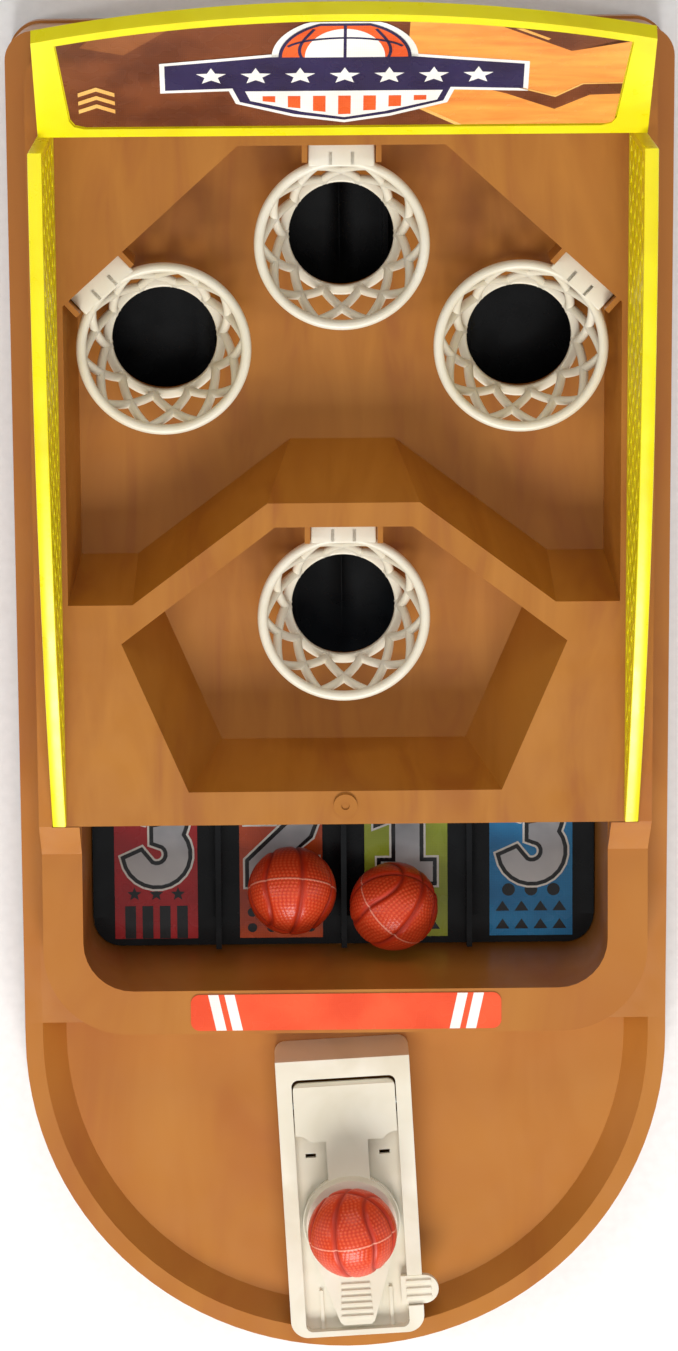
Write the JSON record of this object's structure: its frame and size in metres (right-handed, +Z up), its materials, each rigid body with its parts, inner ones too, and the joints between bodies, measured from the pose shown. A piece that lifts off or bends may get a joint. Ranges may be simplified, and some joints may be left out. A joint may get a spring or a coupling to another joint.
{
  "type": "tabletop basketball game",
  "caption": "Tabletop basketball game: tilted board with netted hoops, ball-return tray with numbered lanes, and a swivelling catapult launcher.",
  "frame": {"origin": "middle of the footprint's box, on the surface that the feet rest on", "axes": "+Y from the launcher to the header, +Z up, +X to the player's right"},
  "size_m": [0.185, 0.3924, 0.1603],
  "materials": {
    "brown_shell": "satin moulded",
    "brown_board": "satin moulded",
    "rubber_feet": "matte",
    "steel": "plated",
    "black_tray": "gloss moulded",
    "label_red": "printed sticker",
    "label_orange": "printed sticker",
    "label_green": "printed sticker",
    "label_blue": "printed sticker",
    "label_front": "printed sticker",
    "yellow_plastic": "gloss moulded",
    "header_card": "printed card",
    "cream_plastic": "satin moulded",
    "ball_vinyl": "moulded vinyl"
  },
  "bodies": {
    "base": {"base_pan": "brown_shell", "feet": "rubber_feet", "base_screws": "steel", "body_shell": "brown_shell", "playfield": "brown_board", "return_tray": "black_tray", "lane_label_red": "label_red", "lane_label_orange": "label_orange", "lane_label_green": "label_green", "lane_label_blue": "label_blue", "front_label": "label_front", "hoop_back": "cream_plastic", "hoop_left": "cream_plastic", "hoop_right": "cream_plastic", "hoop_front": "cream_plastic", "rail_left": "yellow_plastic", "rail_right": "yellow_plastic", "header_frame": "yellow_plastic", "header_card": "header_card", "header_screws": "steel"},
    "launcher": {"launcher_frame": "cream_plastic", "pivot_washer": "steel", "pivot_screw": "steel", "arm_pin": "steel", "arm_spring": "steel"},
    "arm": {"launcher_arm": "cream_plastic"},
    "lever": {"release_lever": "cream_plastic"},
    "shot_ball": {"ball_launch": "ball_vinyl"},
    "orange_lane_ball": {"ball_orange_lane": "ball_vinyl"},
    "green_lane_ball": {"ball_green_lane": "ball_vinyl"}
  },
  "joints": [
    {"name": "launcher_aim", "type": "hinge", "parent": "base", "child": "launcher", "pos_m": [0, -0.132, 0.021], "axis": [0, 0, 1], "range_deg": [-18, 12]},
    {"name": "arm_swing", "type": "hinge", "parent": "launcher", "child": "arm", "pos_m": [-0.00047, -0.12301, 0.03], "axis": [-0.9986, -0.0523, 0], "range_deg": [0, 55]},
    {"name": "lever_press", "type": "slide", "parent": "launcher", "child": "lever", "axis": [-0.9986, -0.0523, 0], "range_m": [0, 0.002], "stiffness_N_per_m": 150},
    {"name": "shot_ball_lift", "type": "slide", "parent": "arm", "child": "shot_ball", "axis": [0, 0, 1], "range_m": [0, 0.06]},
    {"name": "orange_lane_ball_lift", "type": "slide", "parent": "base", "child": "orange_lane_ball", "axis": [0, 0, 1], "range_m": [0, 0.055]},
    {"name": "green_lane_ball_lift", "type": "slide", "parent": "base", "child": "green_lane_ball", "axis": [0, 0, 1], "range_m": [0, 0.055]}
  ]
}
